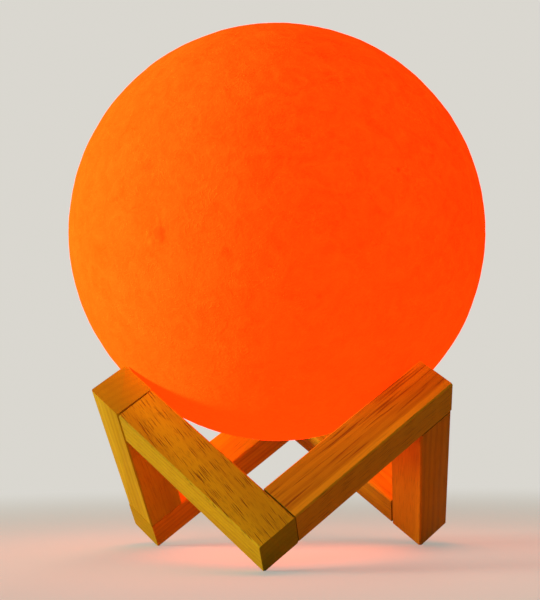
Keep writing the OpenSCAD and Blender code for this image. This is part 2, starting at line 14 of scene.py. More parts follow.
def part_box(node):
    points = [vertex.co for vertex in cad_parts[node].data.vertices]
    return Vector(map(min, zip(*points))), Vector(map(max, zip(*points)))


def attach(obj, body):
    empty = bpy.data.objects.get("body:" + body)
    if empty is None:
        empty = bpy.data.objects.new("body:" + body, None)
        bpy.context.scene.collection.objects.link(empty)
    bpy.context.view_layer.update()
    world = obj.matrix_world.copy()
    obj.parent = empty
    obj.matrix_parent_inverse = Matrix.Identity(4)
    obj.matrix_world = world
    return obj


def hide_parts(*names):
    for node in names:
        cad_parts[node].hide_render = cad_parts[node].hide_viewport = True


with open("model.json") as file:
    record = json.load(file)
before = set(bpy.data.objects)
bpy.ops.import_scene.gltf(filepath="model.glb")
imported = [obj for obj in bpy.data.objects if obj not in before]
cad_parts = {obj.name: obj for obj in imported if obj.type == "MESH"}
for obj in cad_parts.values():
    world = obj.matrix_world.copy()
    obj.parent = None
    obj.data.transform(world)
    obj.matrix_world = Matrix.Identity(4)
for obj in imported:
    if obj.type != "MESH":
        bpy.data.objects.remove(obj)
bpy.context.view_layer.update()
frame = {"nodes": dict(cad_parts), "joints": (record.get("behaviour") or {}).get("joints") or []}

MM = 0.001
WHITE = (1, 1, 1, 1)
BLACK = (0, 0, 0, 1)
NODES = frame["nodes"]
JOINTS = {joint["name"]: joint for joint in frame["joints"]}

# The globe, from the frame: its size and middle, and the light unit's axis through it
GLOBE_LOW, GLOBE_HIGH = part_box("moon_shell")
GLOBE_RADIUS = (GLOBE_HIGH.x - GLOBE_LOW.x) / 2
GLOBE_MIDDLE = Vector((0, 0, GLOBE_HIGH.z - GLOBE_RADIUS))
UNIT_AXIS = Vector(JOINTS["base_twist"]["axis"])

# The shell's wall and its opening, the same sizes as in the construction
GLOBE_WALL = 2.2 * MM
OPENING_RADIUS = 21.5 * MM
LIP_REACH = 2 * MM
LIP_THICKNESS = 1 * MM

# Craters deep enough to model: azimuth, elevation, then the diameter across the rim and the dip below
# it, in millimetres. The first is a raised blister, with a dip below 0.
CRATERS = [
    (-113.7, -8.6, 5, -0.28), (-143, 43, 5, 0.3), (-72, 26, 10, 0.15), (-20, 28, 9, 0.3),
    (16, -8, 12, 0.3), (46, 42, 7, 0.3), (73, 9, 15, 0.3), (112, 34, 10, 0.3), (142, -14, 8, 0.3),
    (168, 17, 13, 0.3), (-162, -22, 6, 0.3), (-92, 64, 6, 0.2), (24, 68, 11, 0.3), (56, -26, 6, 0.3),
    (124, 66, 7, 0.3), (-12, -24, 5, 0.3),
]

# Marks in the glow: azimuth, elevation, diameter in millimetres and share. A share below 0 is paler.
# The blister's marks are painted: a highlight on its upper left, shade over its middle and right.
BLISTER_PAINTED_LIGHT = [
    (-114.1, -8.6, 9, 0.8), (-112.2, -8.0, 4.6, 0.55), (-113.0, -10.4, 3.6, 0.4),
    (-116.5, -10.6, 3.2, -1.3), (-117.2, -8.4, 2.8, -1.0), (-114, -5.4, 2.8, -0.7),
]
PITS = [
    (-54, 6, 2.6, 1.0), (-74, -25, 3, 0.4), (-96.5, -14.5, 5.5, 0.5), (-75, 11, 2.2, 0.3),
    (-123, -18, 2.2, 0.4), (-81, -11, 6, 0.25), (-72, -8, 4, 0.25), (-95, 8, 5.5, 0.25),
    (-99, 15, 6.5, 0.25), (-105, -29, 9, 0.3), (-117, 8, 7, 0.5), (-60, 24, 8, 0.35),
    (-93.7, -18, 5, -0.8), (35, 20, 7, 0.3), (88, -14, 6, 0.3), (100, 52, 8, 0.3), (150, 20, 6, 0.3),
    (-178, -2, 7, 0.3),
]


def on_sphere(azimuth, elevation):
    """The direction at that azimuth and elevation."""
    turn, rise = math.radians(azimuth), math.radians(elevation)
    return Vector((math.cos(rise) * math.cos(turn), math.cos(rise) * math.sin(turn), math.sin(rise)))


def on_globe(azimuth, elevation):
    """The place on the globe at that azimuth and elevation."""
    return GLOBE_MIDDLE + on_sphere(azimuth, elevation) * GLOBE_RADIUS


def new_mesh(name, shape, material):
    """A mesh from a bmesh, with one material."""
    mesh = bpy.data.meshes.new(name)
    shape.to_mesh(mesh)
    shape.free()
    mesh.materials.append(material)
    return mesh


def put_in_scene(name, data):
    """A new object with that data, in the scene."""
    thing = bpy.data.objects.new(name, data)
    bpy.context.scene.collection.objects.link(thing)
    return thing


# ---- Camera ----

CAMERA_PLACE = Vector((38.03, -408.68, 38.59)) * MM
CAMERA_TURN = 5.702
CAMERA_TILT = 7.102
CAMERA_ROLL = -0.705
CAMERA_LENS = 68.54
CAMERA_NEAR = 0.01


def make_camera():
    """The camera: turned from the front, tilted up from level and rolled a little, in degrees."""
    data = bpy.data.cameras.new("camera")
    data.lens = CAMERA_LENS
    data.clip_start = CAMERA_NEAR
    camera = put_in_scene("camera", data)
    turn = Matrix.Rotation(math.radians(CAMERA_TURN), 4, "Z")
    tilt = Matrix.Rotation(math.radians(90 + CAMERA_TILT), 4, "X")
    roll = Matrix.Rotation(math.radians(CAMERA_ROLL), 4, "Z")
    camera.matrix_world = Matrix.Translation(CAMERA_PLACE) @ turn @ tilt @ roll
    bpy.context.scene.camera = camera


# ---- Node helpers ----

# Nearly all values of a noise texture lie in this range, round this middle
CLOUD_RANGE = (0.3, 0.7)
CLOUD_MIDDLE = 0.5


def add(tree, kind, **settings):
    """A new node of that kind, with its own settings."""
    node = tree.nodes.new(kind)
    for name, value in settings.items():
        setattr(node, name, value)
    return node


def join(tree, value, into):
    """Joins a socket to the input. A plain number, vector or colour is set on the input itself."""
    if isinstance(value, bpy.types.NodeSocket):
        tree.links.new(value, into)
    else:
        into.default_value = value


def fill(tree, node, **values):
    """Gives the node's inputs their values by name, with underscores for spaces."""
    for name, value in values.items():
        join(tree, value, node.inputs[name.replace("_", " ")])
    return node


def sums(tree, operation, *values, clamp=False):
    """A Math node. Each value is a socket or a number."""
    node = add(tree, "ShaderNodeMath", operation=operation, use_clamp=clamp)
    for place, value in enumerate(values):
        join(tree, value, node.inputs[place])
    return node.outputs["Value"]


def vectors(tree, operation, *values):
    """A Vector Math node. Each value is a socket or a vector."""
    node = add(tree, "ShaderNodeVectorMath", operation=operation)
    for place, value in enumerate(values):
        join(tree, value, node.inputs[place])
    return node


def weighted(tree, parts, start=None, clamp=False):
    """The sum of the parts, each a value and its weight, added one by one to the start."""
    total = start
    for value, weight in parts:
        part = sums(tree, "MULTIPLY", value, weight)
        total = part if total is None else sums(tree, "ADD", total, part)
    total.node.use_clamp = clamp
    return total


def away_from(tree, value, middle):
    """How far the value is from the middle, on either side."""
    return sums(tree, "ABSOLUTE", sums(tree, "SUBTRACT", value, middle))


def stretched(tree, vector, scale):
    """The vector with each of its directions scaled."""
    return vectors(tree, "MULTIPLY", vector, scale).outputs["Vector"]


def distance_to(tree, vector, place):
    """How far the surface is from that place."""
    return vectors(tree, "DISTANCE", vector, place).outputs["Value"]


def cloud(tree, vector, scale, detail=2.0, roughness=0.5, distortion=0.0):
    """A noise value."""
    node = add(tree, "ShaderNodeTexNoise")
    fill(tree, node, Vector=vector, Scale=scale, Detail=detail, Roughness=roughness,
         Distortion=distortion)
    return node.outputs["Fac"]


def between(tree, value, low, high, out_low=0.0, out_high=1.0, smooth=True):
    """The value from low to high, brought to out_low to out_high."""
    node = add(tree, "ShaderNodeMapRange", interpolation_type="SMOOTHSTEP" if smooth else "LINEAR")
    fill(tree, node, Value=value, From_Min=low, From_Max=high, To_Min=out_low, To_Max=out_high)
    return node.outputs["Result"]


def blended(tree, share, first, second):
    """A colour between two. Each is a socket or a colour."""
    node = add(tree, "ShaderNodeMix", data_type="RGBA", blend_type="MIX")
    join(tree, share, node.inputs["Factor"])
    for name, value in (("A", first), ("B", second)):
        socket = [s for s in node.inputs if s.name == name and s.type == "RGBA"][0]
        join(tree, value, socket)
    return [s for s in node.outputs if s.type == "RGBA"][0]


def mixed(tree, share, first, second):
    """A shader between two."""
    node = add(tree, "ShaderNodeMixShader")
    for place, value in enumerate((share, first, second)):
        join(tree, value, node.inputs[place])
    return node.outputs["Shader"]


def new_finish(name, inputs):
    """An empty node group for a finish, with its inputs and its outputs.

    It takes a Vector and the given inputs, each a name, a kind and a value. It puts out a colour, a
    roughness and a height."""
    tree = bpy.data.node_groups.new(name, "ShaderNodeTree")
    tree.interface.new_socket("Vector", in_out="INPUT", socket_type="NodeSocketVector")
    for label, kind, value in inputs:
        socket = tree.interface.new_socket(label, in_out="INPUT", socket_type="NodeSocket" + kind)
        socket.default_value = value
    for label, kind in (("Color", "Color"), ("Roughness", "Float"), ("Height", "Float")):
        tree.interface.new_socket(label, in_out="OUTPUT", socket_type="NodeSocket" + kind)
    given = add(tree, "NodeGroupInput")
    out = add(tree, "NodeGroupOutput")
    return tree, given.outputs, out


def new_material(name):
    """A material with a Principled surface, its tree, and the surface node."""
    material = bpy.data.materials.new(name)
    material.use_nodes = True
    tree = material.node_tree
    return material, tree, tree.nodes["Principled BSDF"]


def object_vector(tree):
    """The place on the piece, in metres."""
    return add(tree, "ShaderNodeTexCoord").outputs["Object"]


def bump(tree, surface, height, strength, distance):
    """Turns a height into small hills and dips of the surface."""
    node = add(tree, "ShaderNodeBump")
    fill(tree, node, Strength=strength, Distance=distance, Height=height)
    fill(tree, surface, Normal=node.outputs["Normal"])


def lay_on(tree, surface, group, strength, distance, **values):
    """Gives the surface a finish: its colour, its roughness and its height."""
    skin = fill(tree, add(tree, "ShaderNodeGroup", node_tree=group), **values)
    fill(tree, surface, Base_Color=skin.outputs["Color"], Roughness=skin.outputs["Roughness"])
    bump(tree, surface, skin.outputs["Height"], strength, distance)


def seen_rays(tree):
    """1 for what the camera sees, also in a reflection or through glass, and 0 for thrown light."""
    path = add(tree, "ShaderNodeLightPath")
    seen = sums(tree, "MAXIMUM", path.outputs["Is Camera Ray"], path.outputs["Is Glossy Ray"])
    return sums(tree, "MAXIMUM", seen, path.outputs["Is Transmission Ray"])


# ---- Finishes shared by materials ----

# Spots and dashes: how far they reach from the middle of their cell, where they are full, and how
# gently the skipped ones give way to the others
SPOT_EDGE = 0.42
SPOT_MIDDLE = 0.2
SKIPPED_FADE = 0.1

# The beech's patterns in a metre: along the grain, round the growth rings and across them
WANDER = (18, 60, 60)
WANDER_REACH = (0, 0.0016, 0.0016)
GROWTH_STRETCH = (0.05, 1, 1)
GROWTH_WAVES = {
    "Scale": 118.0, "Distortion": 2.2, "Detail": 2.0, "Detail_Scale": 0.7, "Detail_Roughness": 0.5}
GROWTH_RANGE = (0.25, 1.0)
STREAKS = (40, 1000, 1200)
STREAK_CLOUD = (1.0, 2.0, 0.55)
STREAK_RANGE = (0.54, 0.68)
FIBRES = (120, 3600, 3600)
FIBRE_CLOUD = (1.0, 2.0, 0.6)
TONES = (9, 110, 170)
PLAIN_CLOUD = (1.0, 2.0, 0.5)
FLECKS = (110, 2900, 2500)
FLECKS_SKIPPED = 0.42
FINE_FLECKS = (300, 4400, 4400)
FINE_FLECKS_SKIPPED = 0.30
FINE_FLECK_SHARE = 0.4
FLECK_BREAKS = (0.3, 0.5)
SAPWOOD_EDGE = (-0.0003, 0.0004)
SAPWOOD_SHARE = 0.75
PORES = (300, 3800, 3800)
PORE_SHARE = 0.4
END_SHARE = 0.55
WOOD_ROUGHNESS = 0.5

# Moulded plastic: scale, detail and roughness of its stippled finish and of its slow waves
STIPPLE = (3200.0, 2.0, 0.6)
STIPPLE_RANGE = (0.35, 0.65)
WAVES = (90.0, 3.0, 0.55)

# Plated steel: its drawing lines and its duller patches
DRAWN_LINES = (7000, 7000, 500)
PATCHES = (600.0, 3.0, 0.6)
PATCH_RANGE = (0.35, 0.7)
METAL_ROUGHNESS = 0.2


def scattered(tree, vector, scale):
    """One round spot in each cell of that scale, and the random colour of each cell."""
    cells = add(tree, "ShaderNodeTexVoronoi", feature="F1", distance="EUCLIDEAN")
    fill(tree, cells, Vector=stretched(tree, vector, scale), Scale=1.0, Randomness=1.0)
    spots = between(tree, cells.outputs["Distance"], SPOT_EDGE, SPOT_MIDDLE)
    return spots, cells.outputs["Color"]


def dashes(tree, grain, scale, skipped):
    """Thin dashes along the grain: one in each cell, apart from the share that is skipped."""
    spots, draw = scattered(tree, grain, scale)
    picked = fill(tree, add(tree, "ShaderNodeSeparateColor"), Color=draw)
    shown = between(tree, picked.outputs["Red"], skipped, skipped + SKIPPED_FADE)
    return sums(tree, "MULTIPLY", spots, shown)


def make_beech_grain():
    """Beech, with X along the grain, Y round the growth rings and Z across them, in metres."""
    tree, given, out = new_finish("beech_grain", [
        ("End Grain", "Float", 0.0), ("End", "Color", BLACK), ("Light", "Color", WHITE),
        ("Dark", "Color", BLACK), ("Streak", "Color", BLACK), ("Fleck", "Color", BLACK),
        ("Pale", "Color", WHITE), ("Pale Below", "Float", -1.0), ("Fleck Share", "Float", 0.8),
        ("Streak Share", "Float", 0.5)])
    vector = given["Vector"]

    # The grain wanders a little along the stick
    wander = add(tree, "ShaderNodeTexNoise")
    fill(tree, wander, Vector=stretched(tree, vector, WANDER), Scale=1.0, Detail=1.0)
    drift = vectors(tree, "MULTIPLY_ADD", wander.outputs["Color"], WANDER_REACH, vector)
    grain = drift.outputs["Vector"]

    # Growth rings, long streaks and fine fibres
    rings = add(tree, "ShaderNodeTexWave", wave_type="RINGS", rings_direction="X", wave_profile="SIN")
    fill(tree, rings, Vector=stretched(tree, grain, GROWTH_STRETCH), **GROWTH_WAVES)
    ring = between(tree, rings.outputs["Fac"], *GROWTH_RANGE)
    streak_cloud = cloud(tree, stretched(tree, grain, STREAKS), *STREAK_CLOUD)
    streak = between(tree, streak_cloud, *STREAK_RANGE)
    fibre = cloud(tree, stretched(tree, grain, FIBRES), *FIBRE_CLOUD)
    tone = cloud(tree, stretched(tree, grain, TONES), *PLAIN_CLOUD)

    # Rays show as short dark dashes, with many finer ones between them
    fleck = dashes(tree, grain, FLECKS, FLECKS_SKIPPED)
    fine_fleck = dashes(tree, grain, FINE_FLECKS, FINE_FLECKS_SKIPPED)
    fleck = sums(tree, "MAXIMUM", fleck, sums(tree, "MULTIPLY", fine_fleck, FINE_FLECK_SHARE))
    fleck = sums(tree, "MULTIPLY", fleck, between(tree, fibre, *FLECK_BREAKS))
    flecks = sums(tree, "MULTIPLY", fleck, given["Fleck Share"])
    streaks = sums(tree, "MULTIPLY", streak, given["Streak Share"])

    # The colour of the long faces, paler where the sapwood starts
    shade = weighted(tree, [
        (ring, 0.34),
        (between(tree, tone, *CLOUD_RANGE), 0.42),
        (between(tree, fibre, *CLOUD_RANGE), 0.24),
    ], clamp=True)
    plain = blended(tree, shade, given["Light"], given["Dark"])
    colour = blended(tree, streaks, plain, given["Streak"])
    depth = fill(tree, add(tree, "ShaderNodeSeparateXYZ"), Vector=vector)
    below = sums(tree, "SUBTRACT", given["Pale Below"], depth.outputs["Z"])
    pale = between(tree, below, *SAPWOOD_EDGE, 0.0, SAPWOOD_SHARE)
    colour = blended(tree, pale, colour, given["Pale"])
    colour = blended(tree, flecks, colour, given["Fleck"])

    # The ends drink more finish: darker, with open pores
    pores = scattered(tree, grain, PORES)[0]
    end_colour = blended(tree, sums(tree, "MULTIPLY", pores, PORE_SHARE), plain, given["Fleck"])
    end_colour = blended(tree, END_SHARE, end_colour, given["End"])
    colour = blended(tree, given["End Grain"], colour, end_colour)

    rough = weighted(tree, [(fibre, 0.2), (flecks, 0.12), (given["End Grain"], 0.12)],
                     start=WOOD_ROUGHNESS, clamp=True)
    height = weighted(tree, [(fibre, 0.5), (flecks, -1.0), (streaks, -0.5)])
    fill(tree, out, Color=colour, Roughness=rough, Height=height)
    return tree


def make_moulded_skin():
    """Moulded plastic: a fine stippled finish over slow waves."""
    tree, given, out = new_finish("moulded_skin", [
        ("Base", "Color", WHITE), ("Shade", "Color", BLACK), ("Least Rough", "Float", 0.35),
        ("Most Rough", "Float", 0.5)])
    stipple = cloud(tree, given["Vector"], *STIPPLE)
    waves = cloud(tree, given["Vector"], *WAVES)
    tone = weighted(tree, [
        (between(tree, waves, *CLOUD_RANGE), 0.7),
        (between(tree, stipple, *STIPPLE_RANGE), 0.3),
    ], clamp=True)
    colour = blended(tree, tone, given["Base"], given["Shade"])
    rough = between(tree, waves, *CLOUD_RANGE, given["Least Rough"], given["Most Rough"], smooth=False)
    fill(tree, out, Color=colour, Roughness=rough, Height=stipple)
    return tree


def make_worn_metal():
    """Plated steel: fine drawing lines along one direction, with duller patches."""
    tree, given, out = new_finish("worn_metal", [("Bright", "Color", WHITE), ("Dull", "Color", BLACK)])
    lines = cloud(tree, stretched(tree, given["Vector"], DRAWN_LINES), *PLAIN_CLOUD)
    share = between(tree, cloud(tree, given["Vector"], *PATCHES), *PATCH_RANGE)
    colour = blended(tree, share, given["Bright"], given["Dull"])
    rough = weighted(tree, [(share, 0.16), (lines, 0.14)], start=METAL_ROUGHNESS)
    fill(tree, out, Color=colour, Roughness=rough, Height=lines)
    return tree


# ---- The sticks ----

WOOD_LIGHT = (0.690, 0.340, 0.007, 1)
WOOD_DARK = (0.510, 0.215, 0.005, 1)
WOOD_STREAK = (0.240, 0.060, 0.004, 1)
WOOD_FLECK = (0.150, 0.042, 0.004, 1)
WOOD_END = (0.310, 0.232, 0.006, 1)
WOOD_PALE = (0.740, 0.350, 0.010, 1)
WOOD_SHINE = 0.015
GRAIN_STRENGTH = 0.5
GRAIN_DEPTH = 0.00012
EDGE_ROUNDING = 0.3 * MM

# Where a stick lies in its tree: off the middle of the rings, and one board on from the other
TREE_OFFSET = (0.006, 0.052)
BOARD_STEP = 0.31

# How squarely a face has to face along the stick, or across its rings, to show its ends or its flecks
END_FACING = (0.75, 0.9)
FLECK_FACING = (0.4, 0.8)
FLECKS_ELSEWHERE = 0.3

# The sticks lie along three edges of a cube that stands on its corner
CUBE_RISE = math.degrees(math.asin(1 / math.sqrt(3)))
BACK_LEFT = on_sphere(150, CUBE_RISE)
RIGHT = on_sphere(30, CUBE_RISE)
FRONT = on_sphere(270, CUBE_RISE)

# Each stick's board: the way of its length, the way across its rings, its number, how far the grain
# turns away from its length in degrees, its tint in red and green, its share of flecks, its share of
# streaks, and the height across the rings below which its paler sapwood starts. The tint is partly
# the board's own tone and partly painted coloured light: redder where the moon's glow falls, greener
# where a yellow light from the front left falls.
NO_SAPWOOD = -1
BOARDS = [
    ("stick_front_left", BACK_LEFT, FRONT, 1, -7, (0.90, 1.12), 1.0, 0.15, NO_SAPWOOD),
    ("stick_front_right", RIGHT, BACK_LEFT, 2, 0, (0.89, 0.78), 0.6, 0.8, -4.7 * MM),
    ("stick_right", FRONT, RIGHT, 3, 2, (1.10, 0.82), 0.25, 0.1, NO_SAPWOOD),
    ("stick_back_right", BACK_LEFT, RIGHT, 4, -3, (1.00, 0.94), 0.5, 0.4, NO_SAPWOOD),
    ("stick_back_left", RIGHT, FRONT, 5, 4, (1.20, 1.00), 0.3, 0.15, -5.5 * MM),
    ("stick_left", FRONT, BACK_LEFT, 6, -2, (0.92, 1.08), 0.3, 0.15, NO_SAPWOOD),
]

# The rounding of a CAD node's crisp edges, once its loose triangles are merged
WELD_REACH = 0.000002
ROUNDING_STEPS = 2
CRISP_ANGLE = math.radians(30)


def dress(node, material):
    """Puts one material on a CAD node."""
    mesh = NODES[node].data
    mesh.materials.clear()
    mesh.materials.append(material)


def soften(node, width):
    """Rounds a CAD node's crisp edges a little."""
    weld = NODES[node].modifiers.new("weld", "WELD")
    weld.merge_threshold = WELD_REACH
    rounding = NODES[node].modifiers.new("rounding", "BEVEL")
    rounding.width = width
    rounding.segments = ROUNDING_STEPS
    rounding.limit_method = "ANGLE"
    rounding.angle_limit = CRISP_ANGLE
    rounding.harden_normals = True


def tinted(colour, tone_and_painted_light):
    """The colour with its red and its green scaled."""
    return (colour[0] * tone_and_painted_light[0], colour[1] * tone_and_painted_light[1], colour[2], 1)


def faces(tree, coordinates, way):
    """How squarely the surface faces along that way, either side, from 0 to 1."""
    facing = vectors(tree, "DOT_PRODUCT", coordinates.outputs["Normal"], way)
    return sums(tree, "ABSOLUTE", facing.outputs["Value"])


def beech(group, name, along, radial, number, runout, tone_and_painted_light, fleck_share, streak_share, pale_below):
    """A stick's own beech, from its row of BOARDS."""
    material, tree, surface = new_material(name + "_beech")
    low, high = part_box(name)
    middle = (low + high) / 2
    grain = Matrix.Rotation(math.radians(runout), 3, radial) @ along
    turn = Matrix((grain, radial.cross(grain), radial))
    coordinates = add(tree, "ShaderNodeTexCoord")
    mapping = add(tree, "ShaderNodeMapping", vector_type="POINT")
    fill(tree, mapping, Vector=coordinates.outputs["Object"],
         Location=Vector((number * BOARD_STEP, *TREE_OFFSET)) - turn @ middle,
         Rotation=turn.to_euler("XYZ"))

    # The flecks show most on the faces across the rings, and not at the ends
    end_grain = between(tree, faces(tree, coordinates, along), *END_FACING)
    flecks = between(
        tree, faces(tree, coordinates, radial), *FLECK_FACING, fleck_share * FLECKS_ELSEWHERE,
        fleck_share)
    flecks = sums(tree, "MULTIPLY", flecks, sums(tree, "SUBTRACT", 1.0, end_grain))

    # Its tint is partly painted coloured light: redder in the moon's glow, greener in light from the
    # front left.
    lay_on(
        tree, surface, group, GRAIN_STRENGTH, GRAIN_DEPTH, Vector=mapping.outputs["Vector"],
        Light=tinted(WOOD_LIGHT, tone_and_painted_light), Dark=tinted(WOOD_DARK, tone_and_painted_light), Streak=WOOD_STREAK,
        Fleck=WOOD_FLECK, Fleck_Share=flecks, Streak_Share=streak_share, End_Grain=end_grain,
        End=WOOD_END, Pale=WOOD_PALE, Pale_Below=TREE_OFFSET[1] + pale_below)
    fill(tree, surface, Specular_IOR_Level=WOOD_SHINE)
    return material


def finish_sticks(grain):
    """Gives each stick its own piece of beech, with its edges eased."""
    for board in BOARDS:
        name = board[0]
        dress(name, beech(grain, *board))
        soften(name, EDGE_ROUNDING)


# ---- The light unit ----

SATIN = (0.35, 0.5)
STIPPLE_STRENGTH = 0.4
STIPPLE_DEPTH = 0.00002
FOAM_DEPTH = 0.0002
LINE_STRENGTH = 0.3
LINE_DEPTH = 0.00001
TRIM_ROUNDING = 0.15 * MM
ROUNDED_TRIM = ["base_cap", "collar_ring", "button_cap"]

# Plastics: name, colour, its darker shade, least and most roughness, other values of the surface, and
# the nodes that it dresses
PLASTICS = [
    ("milky_plastic", (0.80, 0.71, 0.52, 1), (0.72, 0.61, 0.42, 1), (0.38, 0.5),
     {"Emission_Color": (1.0, 0.30, 0.02, 1), "Emission_Strength": 0.16, "Subsurface_Weight": 0.15,
      "Subsurface_Scale": 0.002},
     ["collar_ring", "base_housing", "base_cap"]),
    ("button_white", (0.82, 0.77, 0.66, 1), (0.76, 0.70, 0.58, 1), (0.3, 0.42), {}, ["button_cap"]),
    ("black_plastic", (0.022, 0.022, 0.024, 1), (0.035, 0.034, 0.034, 1), SATIN, {},
     ["push_switch", "port_tongue", "battery_socket", "switch_plunger"]),
    ("chip_black", (0.016, 0.016, 0.018, 1), (0.03, 0.03, 0.032, 1), (0.45, 0.6), {},
     ["board_chips", "ir_receiver"]),
    ("board_green", (0.020, 0.135, 0.050, 1), (0.014, 0.095, 0.036, 1), (0.22, 0.34),
     {"Coat_Weight": 0.5, "Coat_Roughness": 0.15}, ["control_board"]),
    ("board_white", (0.80, 0.80, 0.78, 1), (0.72, 0.72, 0.69, 1), (0.25, 0.4), {}, ["led_board"]),
    ("clear_plastic", (0.90, 0.92, 0.92, 1), (0.84, 0.88, 0.88, 1), (0.08, 0.16),
     {"Transmission_Weight": 0.8, "IOR": 1.49}, ["indicator_lens"]),
    ("dome_white", (0.80, 0.76, 0.70, 1), (0.74, 0.70, 0.62, 1), SATIN,
     {"Emission_Color": (1, 0.2, 0.02, 1), "Emission_Strength": 1.0}, ["diffuser_dome"]),
    ("lamp_chip", (0.80, 0.62, 0.20, 1), (0.72, 0.52, 0.12, 1), SATIN,
     {"Emission_Color": (1, 0.3, 0.03, 1), "Emission_Strength": 2.0}, ["led_chips", "indicator_led"]),
    ("cell_foil", (0.55, 0.56, 0.58, 1), (0.42, 0.43, 0.46, 1), (0.2, 0.36), {"Metallic": 0.85},
     ["battery_cell"]),
    ("foam_grey", (0.20, 0.20, 0.21, 1), (0.12, 0.12, 0.13, 1), (0.8, 0.95), {"depth": FOAM_DEPTH},
     ["battery_pad"]),
    ("lead_red", (0.55, 0.02, 0.012, 1), (0.42, 0.014, 0.01, 1), (0.3, 0.42), {},
     ["battery_leads", "led_leads"]),
]

# Metals: name, bright colour, duller colour, and the nodes that it dresses
METALS = [
    ("screw_steel", (0.62, 0.61, 0.59, 1), (0.44, 0.43, 0.42, 1),
     ["cap_screws", "board_screws", "led_board_screws"]),
    ("pin_steel", (0.56, 0.56, 0.57, 1), (0.40, 0.40, 0.41, 1), ["joint_pins"]),
    ("port_steel", (0.70, 0.69, 0.68, 1), (0.54, 0.53, 0.52, 1), ["charging_port"]),
]


def moulded(name, group, base, shade, rough, depth=STIPPLE_DEPTH, **values):
    """A moulded plastic. Values are the surface's own sockets.

    One that glows is faint or lies inside the shell, so it isn't sampled as a lamp."""
    material, tree, surface = new_material(name)
    lay_on(tree, surface, group, STIPPLE_STRENGTH, depth, Vector=object_vector(tree), Base=base,
           Shade=shade, Least_Rough=rough[0], Most_Rough=rough[1])
    fill(tree, surface, **values)
    if "Emission_Color" in values:
        material.cycles.emission_sampling = "NONE"
    return material


def metal(name, group, bright, dull):
    """A plated steel."""
    material, tree, surface = new_material(name)
    lay_on(tree, surface, group, LINE_STRENGTH, LINE_DEPTH, Vector=object_vector(tree),
           Bright=bright, Dull=dull)
    fill(tree, surface, Metallic=1.0)
    return material


def finish_light_unit(skin, steel):
    """Dresses the collar, the light unit, the button and the steel pins of the stand."""
    for name, base, shade, rough, values, nodes in PLASTICS:
        plastic = moulded(name, skin, base, shade, rough, **values)
        for node in nodes:
            dress(node, plastic)
    for name, bright, dull, nodes in METALS:
        plated = metal(name, steel, bright, dull)
        for node in nodes:
            dress(node, plated)
    for node in ROUNDED_TRIM:
        soften(node, TRIM_ROUNDING)


# ---- The globe ----

# The glow is deepest at the dark end of its pattern and in the pits. Near the opening it is paler.
GLOW_LIGHT = (1.0, 0.0090, 0.0001, 1)
GLOW_DARK = (0.82, 0.0020, 0.0001, 1)
# The pit colours also paint the shade over the blister.
GLOW_PIT_AND_SHADE = (0.06, 0.0012, 0.0001, 1)
GLOW_NEAR = (1.0, 0.0155, 0.0004, 1)
GLOW_THROWN = (1.0, 0.135, 0.004, 1)
GLOW_STRENGTH = 3.2
NEAR_OPENING = (0.15, 0.03)
SKIN_LIGHT = (0.80, 0.192, 0.008, 1)
SKIN_DARK = (0.68, 0.146, 0.004, 1)
SKIN_PIT_AND_SHADE = (0.56, 0.105, 0.004, 1)
SKIN_ROUGHNESS = (0.62, 0.8)
SKIN_STRENGTH = 0.55
SKIN_DEPTH = 0.0004
PIT_AND_SHADE_SHARE = 0.6

# Scale, detail, roughness and distortion of the glow's clouds
BLOTCHES = (150.0, 4.0, 0.56, 1.1)
FIELDS = (42.0, 3.0, 0.55)
GRIT = (1300.0, 2.0, 0.6)
CRUMPLE = (520.0, 2.0, 0.5, 1.2)

# Scale and width of its winding lines, where they show, and where a crater's rim does
WISPS = (170.0, 0.024)
CREASES = (210.0, 0.020)
CREASE_STRETCH = (1.0, 1.0, 1.6)
THREAD_CLOUD = (3.0, 0.6, 0.8)
THREAD_GAPS = 0.35
THREADS_SHOW = (0.45, 0.6)
RIM_WIDTH = 0.9 * MM
RIMS_SHOW = (0.4, 0.56)

# The wall's mesh: its steps round and along, and what counts as its outside, its lip and a hard edge
GLOBE_STEPS = 360
OUTER_ROWS = 176
INNER_ROWS = 24
SAME_PLACE = 0.002 * MM
OUTER_BAND = 0.1 * MM
LIP_FADE = math.radians(3)
CREASE_ANGLE = math.radians(35)

# The relief: how far the surface lies below the full radius, in millimetres, and how its waves run
RELIEF_MEAN = 0.22
RELIEF_MOST = 0.6
SLOW_HEIGHT = 0.15
SLOW_SCALE = 5.0
SLOW_WAVES = (0.9, 2.1, 3)
FINE_HEIGHT = 0.08
FINE_SCALE = 26.0
FINE_SHIFT = Vector((3, 1, 4))
FINE_WAVES = (0.8, 2.1, 3)

# A crater, in shares of its radius and of its dip
CRATER_REACH = 1.6
RIM_PLACE = 1.1
RIM_SPREAD = 0.5
BOWL_SHARE = 0.9
RIM_SHARE = 0.3


def threads(tree, vector, scale, width):
    """Fine winding lines, here and there, as on crumpled paper."""
    winding = cloud(tree, vector, scale, *THREAD_CLOUD)
    line = between(tree, away_from(tree, winding, CLOUD_MIDDLE), width, 0.0)
    shown = between(tree, cloud(tree, vector, scale * THREAD_GAPS), *THREADS_SHOW)
    return sums(tree, "MULTIPLY", line, shown)


def glow_marks(tree, vector, blotches):
    """Where the pits and broken crater rims darken the glow, and the blister's painted shade and
    highlight.
    """
    marks = 0.0
    for azimuth, elevation, diameter, share in BLISTER_PAINTED_LIGHT + PITS:
        reach = distance_to(tree, vector, on_globe(azimuth, elevation))
        marks = sums(tree, "ADD", marks, between(tree, reach, diameter * MM / 2, 0.0, 0.0, share))
    broken = between(tree, blotches, *RIMS_SHOW)
    for azimuth, elevation, diameter, dip in CRATERS:
        reach = distance_to(tree, vector, on_globe(azimuth, elevation))
        off_rim = away_from(tree, reach, diameter * MM / 2)
        rim = sums(tree, "MULTIPLY", between(tree, off_rim, RIM_WIDTH, 0.0, 0.0, dip), broken)
        marks = sums(tree, "ADD", marks, rim)
    return marks


